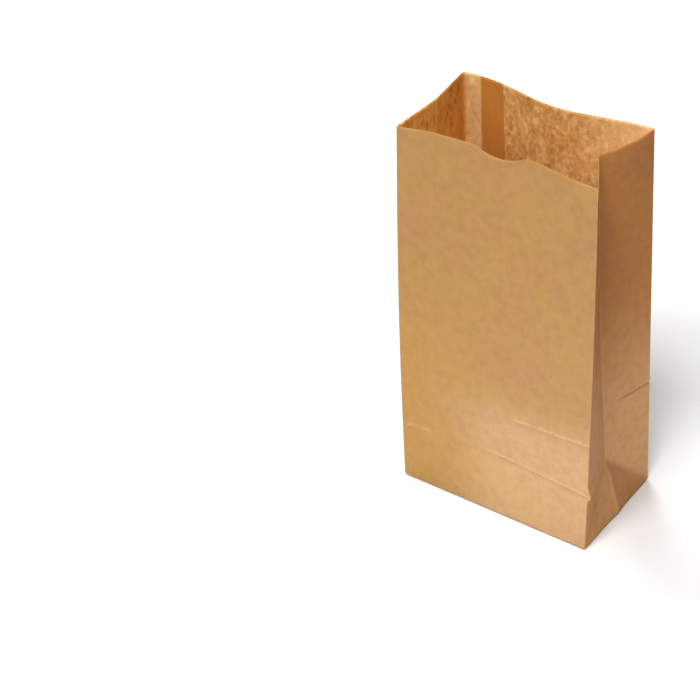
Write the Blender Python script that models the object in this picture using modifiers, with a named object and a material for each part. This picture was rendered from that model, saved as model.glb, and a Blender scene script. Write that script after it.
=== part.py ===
"""A brown paper lunch bag standing open: one sheet, folded, lapped and glued.

Metres, +Z up. The origin is the middle of the underside, the front panel (the one
with the thumb cut) faces -Y, and the glued lap runs up the back panel at its -X end.
"""

import math

import bmesh
import bpy
from mathutils import Vector

MM = 0.001

# The bag
WIDTH = 128.4 * MM
DEPTH = 78.0 * MM
HEIGHT = 245.5 * MM
PAPER = 0.1 * MM
HALF_DEPTH = DEPTH / 2

# The mouth: how far each corner stands from the corner below it, as (x, y)
MOUTH_LEAN = {
    "front_left": (0.0 * MM, 1.3 * MM),
    "front_right": (-2.9 * MM, 1.6 * MM),
    "back_right": (-8.6 * MM, -5.2 * MM),
    "back_left": (-4.2 * MM, -2.9 * MM),
}

# The front and back panels sag inwards at the mouth: sizes of sin(pi s), sin(2 pi s), ...
FRONT_SAG = (7.2 * MM, 0.4 * MM, 0.1 * MM, 0.9 * MM)
BACK_SAG = (6.1 * MM, -1.5 * MM, -1.9 * MM)

# The front panel keeps the folds of the flat bag: a valley at half the depth, a ridge at the full depth
FRONT_VALLEY = 3.0 * MM
FRONT_RIDGE = 2.0 * MM

# The front panel's upright edges bow outwards, most at half the height
LEFT_EDGE_BOW = 1.6 * MM
RIGHT_EDGE_BOW = 0.9 * MM

# Gussets: where the middle crease stands at the mouth, as (x, y), and the bow of each half
RIGHT_CREASE_MOUTH = (42.6 * MM, -3.9 * MM)
LEFT_CREASE_MOUTH = (-63.6 * MM, 0.6 * MM)
RIGHT_CREASE_DROP = 1.6 * MM
LEFT_CREASE_DROP = 0.2 * MM
RIGHT_CREASE_BOW = 1.6 * MM  # how far it bends inwards of a straight line
TRIANGLE_LEAN = 10.2 * MM  # how far the top of each bottom triangle leans in
RIGHT_BACK_HALF_BOW = 2.5 * MM

# The cut edge of the mouth
TOOTH_PITCH = 2.0 * MM
TOOTH_DEPTH = 0.7 * MM
THUMB_CUT_WIDTH = 33.0 * MM
THUMB_CUT_DEPTH = 5.2 * MM

# The glued lap, from the back left corner
LAP_START = 12.5 * MM
LAP_WIDTH = 16.4 * MM
LAP_STEP = 0.05 * MM

# The folded bottom
FLAP_OVERLAP = 9.0 * MM  # how far each long flap passes the middle of the bottom
FLAP_INSET = 0.3 * MM
FLOOR = 2 * PAPER  # the floor's underside, above the two flaps

# The grid of the sheet
PANEL_COLUMNS = 16
HALF_GUSSET_COLUMNS = 5
ROWS_TO_RIDGE = 3
ROWS_ABOVE = 9
TOP_BAND = 9.0 * MM

KRAFT = (0.50, 0.32, 0.16, 1.0)


def clear_scene():
    for obj in list(bpy.data.objects):
        bpy.data.objects.remove(obj, do_unlink=True)


def new_collection(name):
    collection = bpy.data.collections.new(name)
    bpy.context.scene.collection.children.link(collection)
    return collection


def kraft_paper():
    material = bpy.data.materials.new("kraft_paper")
    material.use_nodes = True
    shader = material.node_tree.nodes["Principled BSDF"]
    shader.inputs["Base Color"].default_value = KRAFT
    shader.inputs["Roughness"].default_value = 0.8
    shader.inputs["Metallic"].default_value = 0.0
    material.diffuse_color = KRAFT
    return material


def corner(name, height):
    """A point on one of the four upright edges."""
    side, end = name.split("_")
    base = Vector((
        math.copysign(WIDTH / 2, -1 if end == "left" else 1),
        math.copysign(HALF_DEPTH, -1 if side == "front" else 1),
        FLOOR,
    ))
    lean = Vector((*MOUTH_LEAN[name], HEIGHT - FLOOR))
    point = base + lean * height / HEIGHT
    bow = {"front_left": -LEFT_EDGE_BOW, "front_right": RIGHT_EDGE_BOW}.get(name, 0.0)
    point.x += bow * math.sin(math.pi * min(1.0, height / HEIGHT))
    return point


def sag(sizes, share):
    return sum(size * math.sin((k + 1) * math.pi * share) for k, size in enumerate(sizes))


def above_ridge(height):
    """0 up to the ridge of the front panel, then rising smoothly to 1 at the mouth."""
    rise = max(0.0, (height - DEPTH) / (HEIGHT - DEPTH))
    return rise * rise * (3 - 2 * rise)


def front_point(share, height):
    """share runs from the left edge to the right one."""
    point = corner("front_left", height).lerp(corner("front_right", height), share)
    if height < HALF_DEPTH:
        fold = FRONT_VALLEY * height / HALF_DEPTH
    elif height < DEPTH:
        fold = FRONT_VALLEY - (FRONT_VALLEY + FRONT_RIDGE) * (height - HALF_DEPTH) / HALF_DEPTH
    else:
        fold = -FRONT_RIDGE * (1 - above_ridge(height))
    point.y += fold * math.sin(math.pi * share) + above_ridge(height) * sag(FRONT_SAG, share)
    return point


def back_point(share, height):
    """share runs from the right edge to the left one."""
    point = corner("back_right", height).lerp(corner("back_left", height), share)
    point.y -= (height / HEIGHT) ** 1.5 * sag(BACK_SAG, 1 - share)
    return point


def gusset_point(side, across, height, half_bow):
    """side is 1 for the right gusset and -1 for the left; across runs from its front edge to its back one."""
    end = "right" if side > 0 else "left"
    front, back = corner("front_" + end, height), corner("back_" + end, height)
    outside = min(across, DEPTH - across)  # from the nearer upright edge

    # The bottom triangle leans in from the bag's bottom edge, up to its point on the middle crease
    rise = math.sqrt(HALF_DEPTH**2 - TRIANGLE_LEAN**2) / HALF_DEPTH
    low = min(height, outside)
    on_triangle = Vector((
        side * (WIDTH / 2 - TRIANGLE_LEAN * low / HALF_DEPTH),
        across - HALF_DEPTH,
        FLOOR + rise * low,
    ))
    if height <= outside:
        return on_triangle

    near_edge = front if across < HALF_DEPTH else back
    if height <= HALF_DEPTH:
        far_across = height if across < HALF_DEPTH else DEPTH - height
        far = Vector((
            side * (WIDTH / 2 - TRIANGLE_LEAN * height / HALF_DEPTH),
            far_across - HALF_DEPTH,
            FLOOR + rise * height,
        ))
        return near_edge.lerp(far, outside / height)

    point_of_triangle = Vector((side * (WIDTH / 2 - TRIANGLE_LEAN), 0, FLOOR + rise * HALF_DEPTH))
    if side > 0:
        crease_top = Vector((*RIGHT_CREASE_MOUTH, HEIGHT - RIGHT_CREASE_DROP))
    else:
        crease_top = Vector((*LEFT_CREASE_MOUTH, HEIGHT - LEFT_CREASE_DROP))
    climb = (height - HALF_DEPTH) / (HEIGHT - HALF_DEPTH)
    crease = point_of_triangle.lerp(crease_top, climb)
    if side > 0:
        crease.x -= RIGHT_CREASE_BOW * math.sin(math.pi * climb)
    point = near_edge.lerp(crease, outside / HALF_DEPTH)
    if across > HALF_DEPTH:
        point.x += side * half_bow * climb**2 * math.sin(math.pi * outside / HALF_DEPTH)
    return point


def sheet_point(place, height):
    """The point of the sheet at a place around the bag, counted from the front left edge."""
    if place <= WIDTH:
        return front_point(place / WIDTH, height)
    place -= WIDTH
    if place <= DEPTH:
        return gusset_point(1, place, height, RIGHT_BACK_HALF_BOW)
    place -= DEPTH
    if place <= WIDTH:
        return back_point(place / WIDTH, height)
    return gusset_point(-1, DEPTH - (place - WIDTH), height, 0.0)


def cut_height(place):
    """Where the sheet was cut at the mouth: pinked teeth all round, and a plain round thumb cut in front."""
    from_middle = abs(place - WIDTH / 2)
    if from_middle < THUMB_CUT_WIDTH / 2:
        half = THUMB_CUT_WIDTH / 2
        radius = (half**2 + THUMB_CUT_DEPTH**2) / (2 * THUMB_CUT_DEPTH)
        return HEIGHT - math.sqrt(radius**2 - from_middle**2) + (radius - THUMB_CUT_DEPTH)
    phase = (place / TOOTH_PITCH) % 1
    return HEIGHT - TOOTH_DEPTH * 2 * min(phase, 1 - phase)


def row_heights():
    """Heights of the grid's rows; the first ones match the columns of a gusset, so creases run along edges."""
    step = HALF_DEPTH / HALF_GUSSET_COLUMNS
    rows = [step * j for j in range(HALF_GUSSET_COLUMNS + 1)]
    rows += [HALF_DEPTH * (1 + j / ROWS_TO_RIDGE) for j in range(1, ROWS_TO_RIDGE + 1)]
    plain = HEIGHT - TOP_BAND - DEPTH
    rows += [DEPTH + plain * j / ROWS_ABOVE for j in range(1, ROWS_ABOVE + 1)]
    return rows


def lap_places():
    """The two edges of the lap, as places around the bag."""
    back_left = 2 * WIDTH + DEPTH
    return back_left - LAP_START - LAP_WIDTH, back_left - LAP_START


def column_places():
    """Places of the grid's columns around the bag, with a narrow step at each edge of the lap."""
    panel = [WIDTH * i / PANEL_COLUMNS for i in range(PANEL_COLUMNS)]
    gusset = [HALF_DEPTH * i / HALF_GUSSET_COLUMNS for i in range(2 * HALF_GUSSET_COLUMNS)]
    places = panel + [WIDTH + p for p in gusset]
    places += [WIDTH + DEPTH + p for p in panel]
    places += [2 * WIDTH + DEPTH + p for p in gusset]
    for edge, into_lap in zip(lap_places(), (LAP_STEP, -LAP_STEP)):
        places += [edge, edge + into_lap]
    return sorted(places)


def crosses_crease(place, height, step):
    """1 or -1 if the cell that starts here holds part of a slanted crease, for the way it slants, else 0."""
    for start in (WIDTH, 2 * WIDTH + DEPTH):
        across = place - start
        if -step / 2 < across < DEPTH - step / 2 and height < HALF_DEPTH - step / 2:
            if abs(across - height) < step / 2:
                return 1
            if abs(DEPTH - across - step - height) < step / 2:
                return -1
    return 0


def build_sheet(collection, material):
    """The sheet as an open surface, its outside facing out, thickened inwards: double at the lap."""
    places, rows = column_places(), row_heights()
    around = 2 * (WIDTH + DEPTH)
    step = HALF_DEPTH / HALF_GUSSET_COLUMNS
    mesh = bmesh.new()
    grid = [[mesh.verts.new(sheet_point(p, h)) for p in places] for h in rows]
    top = [mesh.verts.new(sheet_point(p, cut_height(p))) for p in places]

    for j in range(len(rows) - 1):
        for i, place in enumerate(places):
            k = (i + 1) % len(places)
            a, b, c, d = grid[j][i], grid[j][k], grid[j + 1][k], grid[j + 1][i]
            slant = crosses_crease(place, rows[j], step)
            if slant > 0:
                mesh.faces.new((a, b, c))
                mesh.faces.new((a, c, d))
            elif slant < 0:
                mesh.faces.new((a, b, d))
                mesh.faces.new((b, c, d))
            else:
                mesh.faces.new((a, b, c, d))

    # The band under the cut edge takes the teeth that lie between its two columns
    for i, place in enumerate(places):
        k = (i + 1) % len(places)
        after = places[k] if k else around
        first = math.floor(place / (TOOTH_PITCH / 2) + 1e-6) + 1
        last = math.ceil(after / (TOOTH_PITCH / 2) - 1e-6)
        teeth = []
        for half_tooth in range(first, last):
            at = half_tooth * TOOTH_PITCH / 2
            teeth.append(mesh.verts.new(sheet_point(at, cut_height(at))))
        mesh.faces.new([grid[-1][i], grid[-1][k], top[k]] + teeth[::-1] + [top[i]])

    mesh.faces.new(grid[0][::-1])

    lap_from, lap_to = lap_places()
    data = bpy.data.meshes.new("paper_bag")
    mesh.to_mesh(data)
    mesh.free()
    bag = bpy.data.objects.new("paper_bag", data)
    collection.objects.link(bag)
    data.materials.append(material)

    layers = bag.vertex_groups.new(name="layers")
    everything = range(len(data.vertices))
    layers.add(list(everything), 0.5, "REPLACE")
    in_lap = [i for i, p in enumerate(places) if lap_from < p < lap_to]
    count = len(places)
    lap = [j * count + i for j in range(len(rows) + 1) for i in in_lap]
    teeth_of_lap = [
        n for n in everything
        if n >= count * (len(rows) + 1) and between(data.vertices[n].co, lap_from, lap_to)
    ]
    layers.add(lap + teeth_of_lap, 1.0, "REPLACE")

    solidify = bag.modifiers.new("paper", "SOLIDIFY")
    solidify.thickness = 2 * PAPER
    solidify.offset = -1
    solidify.use_even_offset = True
    solidify.vertex_group = "layers"
    return bag


def between(point, lap_from, lap_to):
    """Whether a point at the mouth lies on the back panel between two places around the bag."""
    right, left = corner("back_right", HEIGHT), corner("back_left", HEIGHT)
    across = (right.x - point.x) / (right.x - left.x) * WIDTH
    return point.y > 0 and lap_from < WIDTH + DEPTH + across < lap_to


def bottom_flap(name, side, underside, collection):
    """One long flap of the bottom: side is -1 for the front flap and 1 for the back one."""
    half = WIDTH / 2 - FLAP_INSET
    deep = HALF_DEPTH - FLAP_INSET
    reach = deep + FLAP_OVERLAP
    outline = [
        (-half, side * deep),
        (half, side * deep),
        (half - reach, -side * FLAP_OVERLAP),
        (-half + reach, -side * FLAP_OVERLAP),
    ]
    thick = FLOOR + PAPER / 2 - underside  # it ends inside the floor

    curve = bpy.data.curves.new(name, "CURVE")
    curve.dimensions = "2D"
    curve.fill_mode = "BOTH"
    curve.extrude = thick / 2
    spline = curve.splines.new("POLY")
    spline.points.add(len(outline) - 1)
    for point, (x, y) in zip(spline.points, outline):
        point.co = (x, y, 0, 1)
    spline.use_cyclic_u = True
    drawn = bpy.data.objects.new(name + "_outline", curve)
    drawn.location.z = underside + thick / 2
    collection.objects.link(drawn)
    bpy.context.view_layer.update()

    mesh = bpy.data.meshes.new_from_object(drawn.evaluated_get(bpy.context.evaluated_depsgraph_get()))
    shape = bmesh.new()
    shape.from_mesh(mesh)
    bmesh.ops.remove_doubles(shape, verts=shape.verts, dist=0.01 * MM)
    bmesh.ops.recalc_face_normals(shape, faces=shape.faces)
    shape.to_mesh(mesh)
    shape.free()
    flap = bpy.data.objects.new(name, mesh)
    flap.matrix_world = drawn.matrix_world
    bpy.data.objects.remove(drawn, do_unlink=True)
    collection.objects.link(flap)
    flap.hide_render = True
    flap.display_type = "WIRE"
    return flap


def glue_on(bag, flap):
    union = bag.modifiers.new(flap.name, "BOOLEAN")
    union.operation = "UNION"
    union.solver = "EXACT"
    union.object = flap


def main():
    clear_scene()
    parts = new_collection("paper_lunch_bag")
    helpers = new_collection("helpers")
    bag = build_sheet(parts, kraft_paper())
    glue_on(bag, bottom_flap("back_flap", 1, PAPER, helpers))
    glue_on(bag, bottom_flap("front_flap", -1, 0.0, helpers))


main()
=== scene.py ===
import math

import bpy
import numpy as np
from mathutils import Matrix, Vector, noise


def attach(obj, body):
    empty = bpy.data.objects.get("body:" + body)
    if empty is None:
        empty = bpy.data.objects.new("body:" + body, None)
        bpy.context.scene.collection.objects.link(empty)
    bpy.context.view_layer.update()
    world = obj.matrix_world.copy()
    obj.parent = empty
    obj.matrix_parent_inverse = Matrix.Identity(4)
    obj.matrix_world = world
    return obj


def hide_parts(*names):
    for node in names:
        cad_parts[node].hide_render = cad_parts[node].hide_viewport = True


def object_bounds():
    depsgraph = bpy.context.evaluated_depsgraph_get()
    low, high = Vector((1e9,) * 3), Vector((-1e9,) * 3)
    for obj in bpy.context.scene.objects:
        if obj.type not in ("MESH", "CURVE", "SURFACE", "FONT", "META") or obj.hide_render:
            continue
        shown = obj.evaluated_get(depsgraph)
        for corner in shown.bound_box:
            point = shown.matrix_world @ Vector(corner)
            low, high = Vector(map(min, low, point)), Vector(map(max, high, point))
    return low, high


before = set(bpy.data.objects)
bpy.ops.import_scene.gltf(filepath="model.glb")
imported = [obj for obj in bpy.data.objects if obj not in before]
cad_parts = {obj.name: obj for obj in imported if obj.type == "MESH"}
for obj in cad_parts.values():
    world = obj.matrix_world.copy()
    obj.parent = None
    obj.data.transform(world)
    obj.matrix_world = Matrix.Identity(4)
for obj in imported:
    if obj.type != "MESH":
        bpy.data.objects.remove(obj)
cadLow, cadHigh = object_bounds()
mm = 0.001

width = 128.4 * mm
depth = 2 * cadHigh.y
height = cadHigh.z
halfDepth = depth / 2
around = 2 * (width + depth)


cameraSettings = {
    "place": (0.43506, -0.73748, 0.71965),
    "turn": -37.564,  # degrees, from +Y
    "dip": 35.942,
    "tilt": -2.857,
    "lens": 92.18,
}


def makeCamera():
    print("placing the camera")
    s = cameraSettings
    turn, dip, tilt = (math.radians(s[k]) for k in ("turn", "dip", "tilt"))
    ahead = Vector((math.sin(turn) * math.cos(dip), math.cos(turn) * math.cos(dip), -math.sin(dip)))
    right = Vector((math.cos(turn), -math.sin(turn), 0))
    up = right.cross(ahead)
    level, upright = right, up
    right = math.cos(tilt) * level + math.sin(tilt) * upright
    up = math.cos(tilt) * upright - math.sin(tilt) * level
    data = bpy.data.cameras.new("camera")
    data.lens = s["lens"]
    data.sensor_width = 36
    camera = bpy.data.objects.new("camera", data)
    turned = Matrix((right, up, -ahead)).transposed().to_4x4()
    camera.matrix_world = Matrix.Translation(s["place"]) @ turned
    bpy.context.collection.objects.link(camera)
    bpy.context.scene.camera = camera


# A place runs round the bag in metres, from the front left edge across the front, the right
# gusset, the back and the left gusset. Up runs along the paper from the bottom edge.

sheet = {
    "paper": 0.12 * mm,
    "coarse": 2.3 * mm,  # grid step away from the folds
    "fine": (0.0, 0.35 * mm, 0.8 * mm, 1.5 * mm),  # grid steps beside a fold
    "creased": 0.6 * mm,  # grid step across the pressed creases
    "floorUp": 0.5 * mm,  # the floor's underside lies this high, on the two flaps
    "foldRound": 0.9 * mm,
    "footRound": 1.3 * mm,  # the bottom edge is rounded, so its very foot is off the floor
    "footTuck": 0.7 * mm,
    "lapStart": 12.5 * mm,  # from the back left edge
    "lapWidth": 16.4 * mm,
    "lapGap": 0.16 * mm,
    "topBand": 2.5 * mm,
    "cutSpread": 30 * mm,  # the thumb cut bends the rows this far down
    "sharpFrom": 40,  # degrees
    "backOpening": 3 * mm,  # how much wider the back left corner is bent at the mouth
    "leftOpening": 1.2 * mm,
}

mouth = {
    "frontLeft": (0.0 * mm, 1.3 * mm),  # how far each corner leans from the one below it
    "frontRight": (-2.9 * mm, 1.6 * mm),
    "backRight": (-8.6 * mm, -5.2 * mm),
    "backLeft": (-4.2 * mm, -2.9 * mm),
    "frontSag": (7.2 * mm, 0.4 * mm, 0.1 * mm, 0.9 * mm),  # sizes of sin(pi s), sin(2 pi s) and so on
    "backSag": (6.1 * mm, -1.5 * mm, -1.9 * mm),
    "rightCrease": (42.6 * mm, -3.9 * mm, -1.6 * mm),  # x, y, and z from the mouth
    "leftCrease": (-63.6 * mm, 0.6 * mm, -0.2 * mm),
    "tooth": 2.0 * mm,
    "toothDepth": 0.7 * mm,
    "thumbWidth": 33 * mm,
    "thumbDepth": 5.2 * mm,
}

folds = {
    "valley": 3.0 * mm,  # the front panel's fold at half the depth
    "ridge": 2.0 * mm,  # and its bulge at the full depth
    "leftEdgeBow": 1.6 * mm,  # the front panel's upright edges bow outwards
    "rightEdgeBow": 0.9 * mm,
    "nub": 2.3 * mm,  # the little dog-ear on the right edge at the lower fold
    "nubUp": 40.2 * mm,
    "triangleLean": 10.2 * mm,
    "rightCreaseBow": 1.6 * mm,
    "rightBackBow": 2.5 * mm,
    "cockle": 0.25 * mm,
    "cockleSize": 34 * mm,
}


def smooth(x):
    x = min(1.0, max(0.0, x))
    return x * x * (3 - 2 * x)


def bell(x, wide):
    return math.exp(-(x / wide) ** 2)


def sag(sizes, share):
    return sum(size * math.sin((k + 1) * math.pi * share) for k, size in enumerate(sizes))


def corner(name, up):
    sideX = -1 if name.endswith("Left") else 1
    sideY = -1 if name.startswith("front") else 1
    base = Vector((sideX * width / 2, sideY * halfDepth, sheet["floorUp"]))
    lean = Vector((*mouth[name], height - sheet["floorUp"]))
    point = base + lean * (up / height)
    bowed = math.sin(math.pi * min(1.0, up / height))
    if name == "frontLeft":
        point.x -= folds["leftEdgeBow"] * bowed
    if name == "frontRight":
        point.x += folds["rightEdgeBow"] * bowed + folds["nub"] * nubShape(up - folds["nubUp"])
    return point


def nubShape(above):
    # 1 at the dog-ear's tip: it slopes away slowly above the tip and quickly below it
    return bell(above, (4.2 if above > 0 else 2.2) * mm)


def aboveRidge(up):
    return smooth((up - depth) / (height - depth))


def frontPoint(share, up):
    point = corner("frontLeft", up).lerp(corner("frontRight", up), share)
    if up < halfDepth:
        fold = folds["valley"] * up / halfDepth
    elif up < depth:
        fold = folds["valley"] - (folds["valley"] + folds["ridge"]) * (up - halfDepth) / halfDepth
    else:
        fold = -folds["ridge"] * (1 - aboveRidge(up))
    point.y += fold * math.sin(math.pi * share) + aboveRidge(up) * sag(mouth["frontSag"], share)
    return point


def backPoint(share, up):
    point = corner("backRight", up).lerp(corner("backLeft", up), share)
    point.y -= (up / height) ** 1.5 * sag(mouth["backSag"], 1 - share)
    return point


def trianglePoint(side, across, up):
    # On the triangle at the foot of a gusset, which leans in.
    rise = math.sqrt(halfDepth ** 2 - folds["triangleLean"] ** 2) / halfDepth
    lean = folds["triangleLean"] * up / halfDepth
    return Vector((side * (width / 2 - lean), across - halfDepth, sheet["floorUp"] + rise * up))


def gussetPoint(side, across, up):
    # side is 1 on the right; across runs from the front edge to the back one.
    name = "Right" if side > 0 else "Left"
    outside = min(across, depth - across)
    if up <= outside:
        return trianglePoint(side, across, up)
    nearEdge = corner(("front" if across < halfDepth else "back") + name, up)
    if up <= halfDepth:
        slanted = trianglePoint(side, up if across < halfDepth else depth - up, up)
        return nearEdge.lerp(slanted, outside / up)
    creaseTop = Vector(mouth["rightCrease" if side > 0 else "leftCrease"]) + Vector((0, 0, height))
    climb = (up - halfDepth) / (height - halfDepth)
    crease = trianglePoint(side, halfDepth, halfDepth).lerp(creaseTop, climb)
    if side > 0:
        crease.x -= folds["rightCreaseBow"] * math.sin(math.pi * climb)
    point = nearEdge.lerp(crease, outside / halfDepth)
    if side > 0 and across > halfDepth:
        point.x += folds["rightBackBow"] * climb ** 2 * math.sin(math.pi * outside / halfDepth)
    return point


def flatPoint(place, up):
    place %= around
    if place <= width:
        return frontPoint(place / width, up)
    place -= width
    if place <= depth:
        return gussetPoint(1, place, up)
    place -= depth
    if place <= width:
        return backPoint(place / width, up)
    return gussetPoint(-1, depth - (place - width), up)


backLeftFold = 2 * width + depth
leftCreaseFold = backLeftFold + halfDepth
uprightFolds = (0, width, width + halfDepth, width + depth, backLeftFold, leftCreaseFold)


def roundingOf(fold, up):
    # how far the paper bends to each side of a fold: it opens up towards the mouth on the back left
    opened = smooth((up - 0.45 * height) / (0.5 * height))
    if fold == backLeftFold:
        return sheet["foldRound"] + sheet["backOpening"] * opened
    if fold == leftCreaseFold:
        return sheet["foldRound"] + sheet["leftOpening"] * opened
    return sheet["foldRound"]


def fromFold(place, fold):
    # distance round the bag from a fold, negative before it
    return (place - fold + around / 2) % around - around / 2


def thumbCut(place):
    # how deep the thumb cut is here
    fromMiddle = abs(place % around - width / 2)
    half, deep = mouth["thumbWidth"] / 2, mouth["thumbDepth"]
    if fromMiddle >= half:
        return 0.0
    radius = (half ** 2 + deep ** 2) / (2 * deep)
    return math.sqrt(radius ** 2 - fromMiddle ** 2) - radius + deep


def cutUp(place):
    # How far up the sheet was cut: pinked teeth all round, and a plain thumb cut in front.
    thumb = thumbCut(place)
    phase = (place % around / mouth["tooth"]) % 1
    tooth = 0 if thumb else mouth["toothDepth"] * 2 * min(phase, 1 - phase)
    return height - thumb - tooth


def sheetPoint(place, up):
    # a point of the sheet, with its upright folds rounded
    point = flatPoint(place, up)
    for fold in uprightFolds:
        off = fromFold(place, fold)
        reach = roundingOf(fold, up)
        if abs(off) < reach:
            at = flatPoint(fold, up)
            one = (flatPoint(fold - reach, up) - at) / reach
            two = (flatPoint(fold + reach, up) - at) / reach
            point += (one + two) * ((reach - abs(off)) ** 2 / (4 * reach))
    tuckedIn = sheet["footTuck"] * max(0, 1 - up / sheet["footRound"]) ** 2
    for k, edge in ((0, width / 2), (1, halfDepth)):
        nearEdge = smooth((abs(point[k]) - edge) / (3 * mm) + 1)
        point[k] -= math.copysign(tuckedIn, point[k]) * nearEdge
    return point


def evenly(low, high, step):
    count = max(1, round((high - low) / step))
    return [low + (high - low) * k / count for k in range(count)]


def steps(length, creasedTo=0, creasedFrom=0):
    # grid places over a length between two folds, closer together beside them and over creases
    near = sheet["fine"]
    low, high = near[-1], length - near[-1]
    places = list(near[:-1])
    if creasedTo:
        places += evenly(low, creasedTo, sheet["creased"])
        low = creasedTo
    if creasedFrom:
        places += evenly(low, creasedFrom, sheet["coarse"])
        places += evenly(creasedFrom, high, sheet["creased"])
    else:
        places += evenly(low, high, sheet["coarse"])
    return places + [length - n for n in reversed(near[1:])]


def joined(lengths):
    # grid places over several stretches in a row
    places, start = [], 0.0
    for stretch, length in lengths:
        places += [start + s for s in stretch]
        start += length
    return places


# Pressed creases of the flat bag, in millimetres round and up: start, end, how far each one
# stands out of the paper, and its half width
creases = [
    ((78, 77.6), (133, 78.2), 0.44, 1.1),
    ((84, 75.4), (133, 76.0), -0.4, 1.0),
    ((4, 77.4), (40, 77.0), 0.24, 1.1),
    ((56, 44), (127, 40.8), 0.48, 1.1),
    ((62, 41.4), (130, 38.6), -0.38, 1.0),
    ((0, 39), (11, 42.7), 0.32, 1.0),
    ((11, 42.7), (21, 40.5), 0.32, 1.0),
    ((15.5, 140), (19, 60), -0.3, 1.6),
    ((19, 60), (22.5, 6), -0.42, 1.6),
    ((119, 170), (120.5, 105), 0.22, 1.0),
    ((30, 205), (36, 150), 0.16, 5.0),
    ((88, 225), (78, 160), -0.18, 6.0),
    ((56, 140), (98, 118), 0.14, 5.0),
    ((70, 100), (112, 96), -0.16, 5.0),
    ((26, 120), (60, 104), 0.16, 6.0),
    ((121, 43), (126, 41.4), -0.5, 1.1),  # the dent beside the dog-ear
    ((178, 78.4), (208, 77.4), 0.55, 1.0),
    ((178, 76.2), (208, 75.2), -0.65, 1.0),
    ((167.4, 0), (166, 31), 0.65, 0.9),  # up the middle of the right triangle
    ((167.4, 0), (167.4, 34), 1.3, 8.0),
    ((176, 150), (186, 120), 0.16, 4.0),
    ((221, 77), (315, 77.5), 0.25, 1.2),
    ((214, 42), (325, 40.5), 0.25, 1.2),
    ((303.5, 225), (303.5, 60), -0.14, 3.0),
    ((335, 77), (358, 77.5), 0.4, 1.2),
    ((371, 0), (371, 31), 0.5, 0.9),
]


relief = {
    "past": 3 * mm,  # a crease runs on this far past its ends
    "fade": 8 * mm,  # and fades over this length
    "reach": 3,  # in half widths
    "wornUnder": 1.5,  # creases narrower than this are worn, if they stand out enough
    "wornOver": 0.25,
    "cockleFree": 12 * mm,  # cockles start this far from the upright folds
    "cockleUp": 15 * mm,
    "foldWear": 0.7 * mm,
    "footWear": 0.8 * mm,
}


def creaseRelief(place, up):
    # how far the pressed creases stand out here, and how worn the paper is along them
    stands = worn = 0.0
    past, fade = relief["past"], relief["fade"]
    for (startX, startUp), (endX, endUp), size, wide in creases:
        alongX, alongUp = (endX - startX) * mm, (endUp - startUp) * mm
        offX, offUp = place % around - startX * mm, up - startUp * mm
        length = math.hypot(alongX, alongUp)
        along = (offX * alongX + offUp * alongUp) / length
        aside = (offX * alongUp - offUp * alongX) / length
        if -past < along < length + past and abs(aside) < relief["reach"] * wide * mm:
            kept = smooth((along + past) / fade) * smooth((length + past - along) / fade)
            shape = kept * bell(aside, wide * mm)
            stands += size * mm * shape
            isLine = wide < relief["wornUnder"] and size > relief["wornOver"]
            worn = max(worn, shape if isLine else 0)
    return stands, worn


def unevenness(point, place, up):
    # how far the paper stands out of its smooth shape, along its outward side, and how worn it is
    nearest = min(abs(fromFold(place, fold)) for fold in uprightFolds)
    free = smooth(nearest / relief["cockleFree"]) * smooth(up / relief["cockleUp"])
    size = folds["cockleSize"]
    wave = noise.noise(point / size) + 0.4 * noise.noise(point / (0.4 * size))
    stands, worn = creaseRelief(place, up)
    atFold = bell(nearest, relief["foldWear"]) * smooth((up - 3 * mm) / (3 * mm))
    atFoot = bell(up, relief["footWear"])
    return folds["cockle"] * free * wave + stands, max(worn, 0.8 * atFold, 0.5 * atFoot)


# where the paper's colour changes over the sheet: painted floor light paling its foot, a golden tint
# low on the front, painted shade in the right gusset's front half and the back left corner, and a
# painted glow inside
tones = {
    "floorLitPale": (0.75, 0.55),  # in depths: how far up it starts to fade, and over how much
    "paleAcross": (0.08, 0.45),  # in widths, across the front
    "gussetFloorLitPale": (0.8, 1.3),
    "gussetFront": 0.45,  # how pale the right gusset is at its front
    "triangle": 0.68,
    "triangleBack": 0.5,  # what the triangle's back half is less by
    "backPale": 0.4,
    "creaseBlend": 2 * mm,
    "slantBlend": 3 * mm,
    # a golden tint low on the left of the front, partly the paper's own tone and partly painted bounce
    # light
    "golden": 0.9,
    "goldenAcross": 0.62,
    "goldenUp": (0.8, 0.5),
    # painted shade inside the back left corner
    "corner": 0.6,  # inside the back left corner
    "cornerReach": 14 * mm,
    # painted shade, redder and darker, deep in the right gusset's front half
    "deep": 0.8,  # in the right gusset's front half
    "deepBlend": 3 * mm,
    "deepUp": (90 * mm, 70 * mm),
    # painted glow: light through the paper beside the lap, and light over the front lip towards the
    # back right corner
    "beside": 0.36,  # the strip beside the lap
    "rightwards": 0.46,
    "rightReach": 0.45,  # in widths
}


def floorLitPaleness(place, up):
    # the paper is paler towards its foot, least on the left of the front and on the triangles: partly
    # the paper's own tone, partly painted light, the bounce and sheen of the white floor, with painted
    # shade on the triangles, which face up
    turned = place % around
    (start, fade), (acrossStart, acrossFade) = tones["floorLitPale"], tones["paleAcross"]
    low = 1 - smooth((up - start * depth) / (fade * depth))
    if turned < width:
        return low * smooth((turned - acrossStart * width) / (acrossFade * width))
    if turned < width + depth:
        across = turned - width
        outside = min(across, depth - across)
        behind = smooth((across - halfDepth + mm) / tones["creaseBlend"])
        start, fade = tones["gussetFloorLitPale"]
        higher = 1 - smooth((up - start * depth) / (fade * depth))
        onWall = higher * (tones["gussetFront"] + (1 - tones["gussetFront"]) * behind)
        onTriangle = tones["triangle"] - tones["triangleBack"] * behind
        inTriangle = smooth((outside - up) / tones["slantBlend"] + 0.5)
        return onWall + (onTriangle - onWall) * inTriangle
    return tones["backPale"] * low


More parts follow.
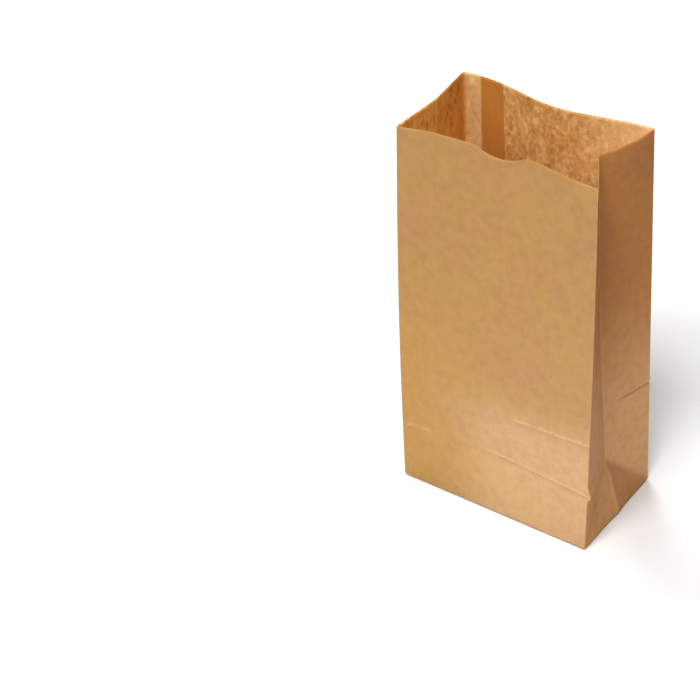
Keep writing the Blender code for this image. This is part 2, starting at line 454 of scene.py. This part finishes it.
def tintAndPaintedShade(place, up):
    # where the paper is golden, low on the left of the front, partly its own tone and partly painted
    # bounce light, and where painted shade makes it redder and darker, deep in the right gusset's front
    # half and inside the back left corner
    turned = place % around
    if turned < width:
        top, fade = tones["goldenUp"]
        leftwards = smooth(1 - turned / (tones["goldenAcross"] * width))
        return tones["golden"] * leftwards * smooth((top * height - up) / (fade * height))
    fromCorner = fromFold(place, backLeftFold)
    if 0 <= fromCorner < halfDepth:
        return tones["corner"] * smooth(1.3 - fromCorner / tones["cornerReach"])
    across = turned - width
    if across > halfDepth or up < across:
        return 0.0
    start, fade = tones["deepUp"]
    inFold = smooth((halfDepth - across) / tones["deepBlend"])
    return inFold * tones["deep"] * smooth((up - start) / fade)


def paintedInsideGlow(place, up):
    # painted glow: the inside is painted paler beside the lap, as light shining through the paper, and
    # towards the back right corner, as light falling over the front lip
    past = fromFold(place, backLeftFold)
    beside = smooth((past + sheet["lapStart"]) / (1 * mm)) * smooth(-past / (2.5 * mm))
    fromRight, reach = fromFold(place, width + depth), tones["rightReach"] * width
    rightwards = smooth((reach - fromRight) / reach) * smooth(fromRight / (2 * mm))
    return tones["beside"] * beside + tones["rightwards"] * rightwards


def regionOf(place):
    # which material trio a part of the sheet takes
    turned = place % around
    if width < turned < width + depth:
        return "rightGusset"
    return "leftGusset" if turned > backLeftFold else "panel"


trios = ("panel", "leftGusset", "rightGusset", "lap")  # each has an outside, an inside and a cut edge


def slantOf(place, after, up):
    # 1 or -1 if the cell holds part of a slanted crease, for the way it slants, else 0
    near = 1e-6  # metres, so this is a rounding error
    for start in (width, backLeftFold):
        low, high = place % around - start, after % around - start
        if after % around < start:
            high = depth
        if up < halfDepth - near and -near < low < halfDepth and abs(low - up) < near:
            return 1
        if up < halfDepth - near and low > halfDepth - near and abs(depth - high - up) < near:
            return -1
    return 0


def makeSheet():
    print("folding the sheet")
    lapTo = backLeftFold - sheet["lapStart"]
    lapFrom = lapTo - sheet["lapWidth"]
    panel, halfGusset = (steps(width), width), (steps(halfDepth), halfDepth)
    columns = joined([panel, halfGusset, halfGusset, panel, halfGusset, halfGusset])
    columns = sorted({round(c, 7) for c in columns + [lapFrom, lapTo]})
    first, last = columns.index(round(lapFrom, 7)), columns.index(round(lapTo, 7))
    ring = columns[first:] + [c + around for c in columns[:first]]
    places = ring + [c + around for c in columns[first:last + 1]]  # the lap is covered twice
    plain = height - depth - sheet["topBand"]
    overFold = steps(halfDepth, 7.5 * mm, halfDepth - 6.5 * mm)
    underFold = steps(halfDepth)
    overRidge = steps(plain, 2.7 * mm)
    rows = joined([(underFold, halfDepth), (overFold, halfDepth), (overRidge, plain)])
    rows.append(height - sheet["topBand"])

    def laid(place, up):
        point = sheetPoint(place, up)
        point.y -= smooth((place - lapFrom - around + 3 * mm) / (3 * mm)) * sheet["lapGap"]
        return point

    def rowUp(place, up):
        reach = sheet["cutSpread"]
        return up - thumbCut(place) * smooth((up - height + reach) / (reach - sheet["topBand"]))

    count = len(places)
    points = np.array([[laid(p, rowUp(p, u)) for p in places] for u in rows])
    outward = np.cross(np.gradient(points, axis=1), np.gradient(points, axis=0))
    outward /= np.linalg.norm(outward, axis=2)[:, :, None]
    wear, floorLitPale, tintAndShade, paintedGlow = (np.zeros(points.shape[:2]) for k in range(4))
    for j, up in enumerate(rows):
        for i, place in enumerate(places):
            stands, wear[j, i] = unevenness(Vector(points[j, i]), place, up)
            points[j, i] += outward[j, i] * stands
            # per point: the pale share (painted floor light), the tint share (golden tone, painted
            # bounce light and painted shade) and the painted glow inside
            floorLitPale[j, i] = floorLitPaleness(place, up)
            tintAndShade[j, i] = tintAndPaintedShade(place, up)
            paintedGlow[j, i] = paintedInsideGlow(place, up)

    vertices = [tuple(p) for p in points.reshape(-1, 3)]
    faces, regions = [], []
    for j in range(len(rows) - 1):
        for i in range(count - 1):
            a = j * count + i
            b, c, d = a + 1, a + count + 1, a + count
            slant = slantOf(places[i], places[i + 1], rows[j])
            made = {0: [(a, b, c, d)], 1: [(a, b, c), (a, c, d)], -1: [(a, b, d), (b, c, d)]}[slant]
            inLap = places[i] > lapFrom + around - 1e-6
            region = "lap" if inLap else regionOf((places[i] + places[i + 1]) / 2)
            faces += made
            regions += [region] * len(made)

    # the band under the cut edge takes the teeth that lie between its columns
    bandColumns = []

    def top(place, column):
        vertices.append(tuple(laid(place, cutUp(place))))
        bandColumns.append(column)
        return len(vertices) - 1

    tops = [top(place, column) for column, place in enumerate(places)]
    half = mouth["tooth"] / 2
    row = (len(rows) - 1) * count
    for i in range(count - 1):
        start, end = places[i], places[i + 1]
        teeth = range(math.floor(start / half + 1e-4) + 1, math.ceil(end / half - 1e-4))
        points = [top(k * half, i) for k in teeth]
        faces.append([row + i, row + i + 1, tops[i + 1]] + points[::-1] + [tops[i]])
        regions.append("lap" if start > lapFrom + around - 1e-6 else regionOf((start + end) / 2))

    faces.append(list(range(len(ring)))[::-1])
    regions.append("panel")

    data = bpy.data.meshes.new("paperBag")
    data.from_pydata(vertices, [], faces)
    data.update()
    bag = bpy.data.objects.new("paper_bag_sheet", data)
    bpy.context.collection.objects.link(bag)
    for trio in trios:
        for side in ("outside", "inside", "edge"):
            data.materials.append(kraftPaper(trio, side))
    for name, values in (("wear", wear), ("floorLitPale", floorLitPale), ("tintAndShade", tintAndShade), ("paintedGlow", paintedGlow)):
        painted = data.attributes.new(name, "FLOAT", "POINT")
        onBand = [values[-1, column] for column in bandColumns]
        painted.data.foreach_set("value", [*values.ravel(), *onBand])
    for polygon, region in zip(data.polygons, regions):
        polygon.material_index = 3 * trios.index(region)
    thicken = bag.modifiers.new("paper", "SOLIDIFY")
    thicken.thickness = sheet["paper"]
    thicken.offset = -1
    thicken.use_even_offset = True
    thicken.material_offset = 1
    thicken.material_offset_rim = 2
    data.shade_smooth()
    data.set_sharp_from_angle(angle=math.radians(sheet["sharpFrom"]))
    return bag


bottom = {
    "overlap": 9 * mm,  # how far each long flap passes the middle
    "inset": 2.2 * mm,
    "step": 3 * mm,
}


def makeBottomFlap(name, side, low, high):
    print("folding under the", name)
    # A long flap with slanted ends: side is -1 in front. It is a thin plate between two heights.
    half, deep = width / 2 - bottom["inset"], halfDepth - bottom["inset"]
    reach = deep + bottom["overlap"]
    rowsDeep = round(reach / bottom["step"])
    across = round(2 * half / bottom["step"])
    vertices, faces = [], []
    for up in (low, high):
        for j in range(rowsDeep + 1):
            inwards = reach * j / rowsDeep
            for i in range(across + 1):
                x = (half - inwards) * (2 * i / across - 1)
                vertices.append((x, side * (deep - inwards), up))
    size = (rowsDeep + 1) * (across + 1)
    for j in range(rowsDeep):
        for i in range(across):
            a = j * (across + 1) + i
            quad = (a, a + 1, a + across + 2, a + across + 1)
            faces.append(quad)
            faces.append(tuple(size + v for v in reversed(quad)))
    rim = [j * (across + 1) for j in range(rowsDeep + 1)]
    rim += [rowsDeep * (across + 1) + i for i in range(1, across + 1)]
    rim += [j * (across + 1) + across for j in range(rowsDeep - 1, -1, -1)]
    rim += [i for i in range(across - 1, 0, -1)]
    for a, b in zip(rim, rim[1:] + rim[:1]):
        faces.append((a, b, size + b, size + a))
    data = bpy.data.meshes.new(name)
    data.from_pydata(vertices, [], faces)
    data.update()
    flap = bpy.data.objects.new(name, data)
    bpy.context.collection.objects.link(flap)
    data.materials.append(kraftPaper("panel", "outside"))
    return flap


kraft = {
    "warm": (0.430, 0.235, 0.058, 1),
    "rosy": (0.432, 0.214, 0.070, 1),
    # golden: partly the paper's own tone, partly painted bounce light
    "golden": (0.482, 0.248, 0.047, 1),
    # the right gusset's outside colours are a painted-shade copy of the same kraft: redder and deeper,
    # as its shaded side looks, with a pale foot of painted floor light
    "gussetShadedWarm": (0.565, 0.235, 0.054, 1),
    "gussetShadedRosy": (0.555, 0.215, 0.065, 1),
    # painted shade, redder and darker, deep in the right gusset's front half
    "gussetDeepShade": (0.570, 0.182, 0.016, 1),
    "gussetFloorLitPale": (0.780, 0.405, 0.160, 1),
    # the pale foot colour: partly the paper's own tone, partly painted bounce light and sheen from the
    # floor
    "floorLitPale": (0.550, 0.322, 0.138, 1),
    "fibre": (0.74, 0.68, 0.60, 1),  # what fine fibres and specks tint it by
    "speck": (0.55, 0.45, 0.36, 1),
    "worn": (0.68, 0.43, 0.22, 1),
    # the inside colours are the rough side's own flecked colour, painted brighter and more orange than
    # the outside to stand in for light shining through the paper, the left gusset's most of all
    "inside": (0.615, 0.322, 0.092, 1),
    "insideDark": (0.425, 0.178, 0.041, 1),
    "insideLight": (0.82, 0.520, 0.220, 1),
    "gussetInside": (0.92, 0.430, 0.090, 1),
    "gussetDark": (0.56, 0.215, 0.040, 1),
    "gussetLight": (0.98, 0.600, 0.165, 1),
    "lap": (0.52, 0.200, 0.038, 1),
    # the painted glow inside: light through the paper beside the lap and over the front lip
    "paintedGlow": (0.92, 0.66, 0.34, 1),
    "edge": (0.50, 0.29, 0.13, 1),
    "clouds": 30.0,  # features in a metre
    "fibres": 650.0,
    "specks": 110.0,
    "flocks": 360.0,
    "gloss": 0.4,  # of the smooth outside
    "mattGloss": 0.12,
    "rough": (0.42, 0.56),
    "insideRough": 0.8,
    "bump": 0.22,
    "bumpDepth": 0.2 * mm,
}


class Nodes:
    # Adds nodes to a tree and links them by socket name.

    def __init__(self, tree):
        self.tree = tree

    def add(self, kind, values=(), **settings):
        node = self.tree.nodes.new(kind)
        for key, value in settings.items():
            setattr(node, key, value)
        for key, value in dict(values).items():
            node.inputs[key].default_value = value
        return node

    def link(self, out, into):
        self.tree.links.new(out, into)


def paperGrain():
    # clouds in the pulp, fine fibres along the sheet, dark specks and a height, all from one coordinate
    if "paperGrain" in bpy.data.node_groups:
        return bpy.data.node_groups["paperGrain"]
    group = bpy.data.node_groups.new("paperGrain", "ShaderNodeTree")
    face = group.interface
    face.new_socket("Vector", in_out="INPUT", socket_type="NodeSocketVector")
    for name in ("Cloud Scale", "Fibre Scale", "Speck Scale"):
        face.new_socket(name, in_out="INPUT", socket_type="NodeSocketFloat")
    for name in ("Clouds", "Fibres", "Specks", "Height"):
        face.new_socket(name, in_out="OUTPUT", socket_type="NodeSocketFloat")
    n = Nodes(group)
    given, out = n.add("NodeGroupInput"), n.add("NodeGroupOutput")
    clouds = n.add("ShaderNodeTexNoise", {"Detail": 4.0, "Roughness": 0.6, "Distortion": 0.3})
    n.link(given.outputs["Vector"], clouds.inputs["Vector"])
    n.link(given.outputs["Cloud Scale"], clouds.inputs["Scale"])
    stretch = n.add("ShaderNodeMapping", {"Scale": (1.0, 1.0, 0.2)})
    n.link(given.outputs["Vector"], stretch.inputs["Vector"])
    fibres = n.add("ShaderNodeTexNoise", {"Detail": 4.0, "Roughness": 0.65, "Distortion": 0.6})
    n.link(stretch.outputs["Vector"], fibres.inputs["Vector"])
    n.link(given.outputs["Fibre Scale"], fibres.inputs["Scale"])
    cells = n.add("ShaderNodeTexVoronoi", {"Randomness": 1.0})
    n.link(given.outputs["Vector"], cells.inputs["Vector"])
    n.link(given.outputs["Speck Scale"], cells.inputs["Scale"])
    specks = spread(n, cells.outputs["Distance"], 0.10, 0.03, 0.0, 1.0)
    half = n.add("ShaderNodeMath", {1: 0.5}, operation="MULTIPLY")
    n.link(clouds.outputs["Fac"], half.inputs[0])
    both = n.add("ShaderNodeMath", operation="ADD")
    n.link(half.outputs[0], both.inputs[0])
    n.link(fibres.outputs["Fac"], both.inputs[1])
    n.link(clouds.outputs["Fac"], out.inputs["Clouds"])
    n.link(fibres.outputs["Fac"], out.inputs["Fibres"])
    n.link(specks, out.inputs["Specks"])
    n.link(both.outputs[0], out.inputs["Height"])
    return group


def pulpFlocks():
    # the cloudy flocks of the rough side: a dark mask and a light one
    if "pulpFlocks" in bpy.data.node_groups:
        return bpy.data.node_groups["pulpFlocks"]
    group = bpy.data.node_groups.new("pulpFlocks", "ShaderNodeTree")
    face = group.interface
    face.new_socket("Vector", in_out="INPUT", socket_type="NodeSocketVector")
    for name in ("Scale", "Stretch"):
        face.new_socket(name, in_out="INPUT", socket_type="NodeSocketFloat")
    for name in ("Dark", "Light"):
        face.new_socket(name, in_out="OUTPUT", socket_type="NodeSocketFloat")
    n = Nodes(group)
    given, out = n.add("NodeGroupInput"), n.add("NodeGroupOutput")
    along = n.add("ShaderNodeCombineXYZ", {"X": 1.0, "Y": 1.0})
    n.link(given.outputs["Stretch"], along.inputs["Z"])
    place = n.add("ShaderNodeVectorMath", operation="MULTIPLY")
    n.link(given.outputs["Vector"], place.inputs[0])
    n.link(along.outputs["Vector"], place.inputs[1])
    small = n.add("ShaderNodeTexNoise", {"Detail": 3.0, "Roughness": 0.55, "Distortion": 0.5})
    large = n.add("ShaderNodeTexNoise", {"Detail": 2.0, "Roughness": 0.5})
    smaller = n.add("ShaderNodeMath", {1: 0.35}, operation="MULTIPLY")
    n.link(given.outputs["Scale"], small.inputs["Scale"])
    n.link(given.outputs["Scale"], smaller.inputs[0])
    n.link(smaller.outputs[0], large.inputs["Scale"])
    n.link(place.outputs["Vector"], small.inputs["Vector"])
    n.link(place.outputs["Vector"], large.inputs["Vector"])
    both = mixed(n, "MIX", 0.35, small.outputs["Fac"], large.outputs["Fac"])
    n.link(spread(n, both, 0.49, 0.36, 0.0, 1.0), out.inputs["Dark"])
    n.link(spread(n, both, 0.51, 0.64, 0.0, 1.0), out.inputs["Light"])
    return group


def mixed(n, kind, share, one, two):
    # a colour mix: one and two are sockets or plain colours, and share is a socket or a number
    mix = n.add("ShaderNodeMix", data_type="RGBA", blend_type=kind)
    for socket, value in ((mix.inputs[0], share), (mix.inputs[6], one), (mix.inputs[7], two)):
        if hasattr(value, "is_linked"):
            n.link(value, socket)
        else:
            socket.default_value = value
    return mix.outputs[2]


def spread(n, value, low, high, toLow, toHigh):
    # a value stretched from one range to another
    ranged = n.add("ShaderNodeMapRange")
    for key, end in (("From Min", low), ("From Max", high), ("To Min", toLow), ("To Max", toHigh)):
        ranged.inputs[key].default_value = end
    n.link(value, ranged.inputs["Value"])
    return ranged.outputs["Result"]


def kraftPaper(trio, side):
    name = "kraft" + trio[0].upper() + trio[1:] + side.capitalize()
    if name in bpy.data.materials:
        return bpy.data.materials[name]
    print("mixing", name)
    material = bpy.data.materials.new(name)
    material.use_nodes = True
    n = Nodes(material.node_tree)
    shader = material.node_tree.nodes["Principled BSDF"]
    inGusset = trio.endswith("Gusset")
    glossy = side == "outside" and trio != "rightGusset"
    shader.inputs["Specular IOR Level"].default_value = kraft["gloss" if glossy else "mattGloss"]
    place = n.add("ShaderNodeTexCoord")
    grain = n.add("ShaderNodeGroup", node_tree=paperGrain())
    grain.inputs["Cloud Scale"].default_value = kraft["clouds"]
    grain.inputs["Fibre Scale"].default_value = kraft["fibres"]
    grain.inputs["Speck Scale"].default_value = kraft["specks"]
    n.link(place.outputs["Object"], grain.inputs["Vector"])
    clouds, fibres, specks = (grain.outputs[k] for k in ("Clouds", "Fibres", "Specks"))

    if side == "edge":
        colour = mixed(n, "MIX", spread(n, fibres, 0.3, 0.7, 0.0, 0.5), kraft["edge"], kraft["warm"])
    elif side == "outside":
        warm, rosy, floorLitColour, tint = "warm", "rosy", "floorLitPale", "golden"
        # the right gusset's outside takes its painted-shade copy of the kraft colours
        if trio == "rightGusset":
            warm, rosy, floorLitColour, tint = "gussetShadedWarm", "gussetShadedRosy", "gussetFloorLitPale", "gussetDeepShade"
        cloudy = spread(n, clouds, 0.38, 0.62, 0.0, 1.0)
        colour = mixed(n, "MIX", cloudy, kraft[warm], kraft[rosy])
        # towards the foot the colour pales: partly the paper's tone, partly painted bounce light and
        # sheen from the floor
        floorLitPale = n.add("ShaderNodeAttribute", attribute_name="floorLitPale")
        colour = mixed(n, "MIX", floorLitPale.outputs["Fac"], colour, kraft[floorLitColour])
        if trio != "leftGusset":
            # golden low on the front, partly tone and partly painted bounce light; on the right gusset,
            # painted shade deep in its front half
            tintAndShade = n.add("ShaderNodeAttribute", attribute_name="tintAndShade")
            colour = mixed(n, "MIX", tintAndShade.outputs["Fac"], colour, kraft[tint])
        mottled = n.add("ShaderNodeTexNoise", {"Scale": 6 * kraft["clouds"], "Detail": 3.0})
        n.link(place.outputs["Object"], mottled.inputs["Vector"])
        patches = spread(n, mottled.outputs["Fac"], 0.3, 0.6, 0.38, 0.0)
        colour = mixed(n, "MULTIPLY", patches, colour, kraft["fibre"])
        threads = spread(n, fibres, 0.3, 0.6, 0.22, 0.0)
        colour = mixed(n, "MULTIPLY", threads, colour, kraft["fibre"])
        dots = spread(n, specks, 0.0, 1.0, 0.0, 0.22)
        colour = mixed(n, "MULTIPLY", dots, colour, kraft["speck"])
        worn = n.add("ShaderNodeAttribute", attribute_name="wear")
        share = n.add("ShaderNodeMath", operation="MULTIPLY")
        n.link(worn.outputs["Fac"], share.inputs[0])
        n.link(spread(n, fibres, 0.35, 0.6, 0.1, 0.5), share.inputs[1])
        colour = mixed(n, "MIX", share.outputs[0], colour, kraft["worn"])
    elif trio == "lap":
        threads = spread(n, fibres, 0.3, 0.65, 0.3, 0.0)
        colour = mixed(n, "MULTIPLY", threads, kraft["lap"], kraft["fibre"])
    else:
        flocks = n.add("ShaderNodeGroup", node_tree=pulpFlocks())
        flocks.inputs["Scale"].default_value = kraft["flocks"]
        flocks.inputs["Stretch"].default_value = 0.5 if inGusset else 0.75
        n.link(place.outputs["Object"], flocks.inputs["Vector"])
        # the rough inside: its own flocks, on colours painted bright as light shining through the paper
        middle, light, dark = "inside", "insideLight", "insideDark"
        if inGusset:
            middle, light, dark = "gussetInside", "gussetLight", "gussetDark"
        darker = spread(n, flocks.outputs["Dark"], 0, 1, 0, 0.85)
        lighter = spread(n, flocks.outputs["Light"], 0, 1, 0, 0.8)
        colour = mixed(n, "MIX", darker, kraft[middle], kraft[dark])
        colour = mixed(n, "MIX", lighter, colour, kraft[light])
        # painted shade inside the back left corner, in the flocks' dark colour
        if trio == "leftGusset":
            tintAndShade = n.add("ShaderNodeAttribute", attribute_name="tintAndShade")
            colour = mixed(n, "MIX", tintAndShade.outputs["Fac"], colour, kraft["gussetDark"])
        # painted glow beside the lap and towards the back right corner
        paintedGlow = n.add("ShaderNodeAttribute", attribute_name="paintedGlow")
        colour = mixed(n, "MIX", paintedGlow.outputs["Fac"], colour, kraft["paintedGlow"])
    n.link(colour, shader.inputs["Base Color"])
    if side == "outside":
        n.link(spread(n, fibres, 0.3, 0.7, *kraft["rough"]), shader.inputs["Roughness"])
    else:
        shader.inputs["Roughness"].default_value = kraft["insideRough"]
    bump = n.add("ShaderNodeBump", {"Strength": kraft["bump"], "Distance": kraft["bumpDepth"]})
    n.link(grain.outputs["Height"], bump.inputs["Height"])
    n.link(bump.outputs["Normal"], shader.inputs["Normal"])
    return material


floorSettings = {
    "size": 8,  # metres
    "down": 0.02 * mm,
    "white": (0.9, 0.9, 0.9, 1),
    "roughness": 0.9,
    "whitens": (0.2, 0.9),  # from and to this far off
    "whitenedBy": 0.8,
}


def makeFloor():
    print("laying the floor")
    s = floorSettings
    bpy.ops.mesh.primitive_plane_add(size=s["size"], location=(0, 0, -s["down"]))
    floor = bpy.context.object
    floor.name = "floor"
    material = bpy.data.materials.new("floorWhite")
    material.use_nodes = True
    shader = material.node_tree.nodes["Principled BSDF"]
    shader.inputs["Base Color"].default_value = s["white"]
    shader.inputs["Roughness"].default_value = s["roughness"]
    # far from the bag it is lit evenly to white, as a studio's sweep is, without lighting the bag
    n = Nodes(material.node_tree)
    place = n.add("ShaderNodeNewGeometry")
    far = n.add("ShaderNodeVectorMath", operation="LENGTH")
    n.link(place.outputs["Position"], far.inputs[0])
    path = n.add("ShaderNodeLightPath")
    seen = n.add("ShaderNodeMath", operation="MULTIPLY")
    whiter = spread(n, far.outputs["Value"], *s["whitens"], 0, s["whitenedBy"])
    n.link(whiter, seen.inputs[0])
    n.link(path.outputs["Is Camera Ray"], seen.inputs[1])
    shader.inputs["Emission Color"].default_value = (1, 1, 1, 1)
    n.link(seen.outputs[0], shader.inputs["Emission Strength"])
    floor.data.materials.append(material)


lights = {
    "world": 0.12,
    "over": ((0.1, -0.45, 1.1), 0.3, 10.2),  # place, size and power
    "front": ((-0.45, -1.6, 1.2), 0.7, 9),
    "back": ((-0.9, 0.8, 1.5), 0.8, 20),
    "pool": ((0.04, -0.18, 1.2), 15, 90),  # place, cone in degrees and power
}


def makeLight(name, kind, place, power, target):
    data = bpy.data.lights.new(name, kind)
    data.energy = power
    light = bpy.data.objects.new(name, data)
    light.location = place
    light.rotation_mode = "QUATERNION"
    light.rotation_quaternion = (Vector(target) - Vector(place)).to_track_quat("-Z", "Y")
    bpy.context.collection.objects.link(light)
    return data


def makeLights():
    print("setting up the lights")
    # the camera sees a white world, which lights the bag only softly
    world = bpy.data.worlds.new("studio")
    world.use_nodes = True
    n = Nodes(world.node_tree)
    background = world.node_tree.nodes["Background"]
    background.inputs["Color"].default_value = (1, 1, 1, 1)
    path = n.add("ShaderNodeLightPath")
    strength = spread(n, path.outputs["Is Camera Ray"], 0, 1, lights["world"], 1)
    n.link(strength, background.inputs["Strength"])
    bpy.context.scene.world = world
    for name in ("over", "front", "back"):
        place, size, power = lights[name]
        makeLight(name + "Light", "AREA", place, power, (0, 0, 0.1)).size = size
    place, cone, power = lights["pool"]  # it lights the floor before the bag, and so the bag's foot
    pool = makeLight("poolLight", "SPOT", place, power, (place[0], place[1], 0))
    pool.spot_size = math.radians(cone)
    pool.spot_blend = 1.0
    pool.shadow_soft_size = 0.05
    bpy.context.scene.view_settings.view_transform = "Standard"


makeCamera()
bag = makeSheet()
flaps = [
    makeBottomFlap("front_bottom_flap", -1, 0.0, 0.2 * mm),
    makeBottomFlap("back_bottom_flap", 1, 0.23 * mm, 0.45 * mm),
]
for piece in [bag] + flaps:
    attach(piece, "root")
    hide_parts("paper_bag")
makeFloor()
makeLights()
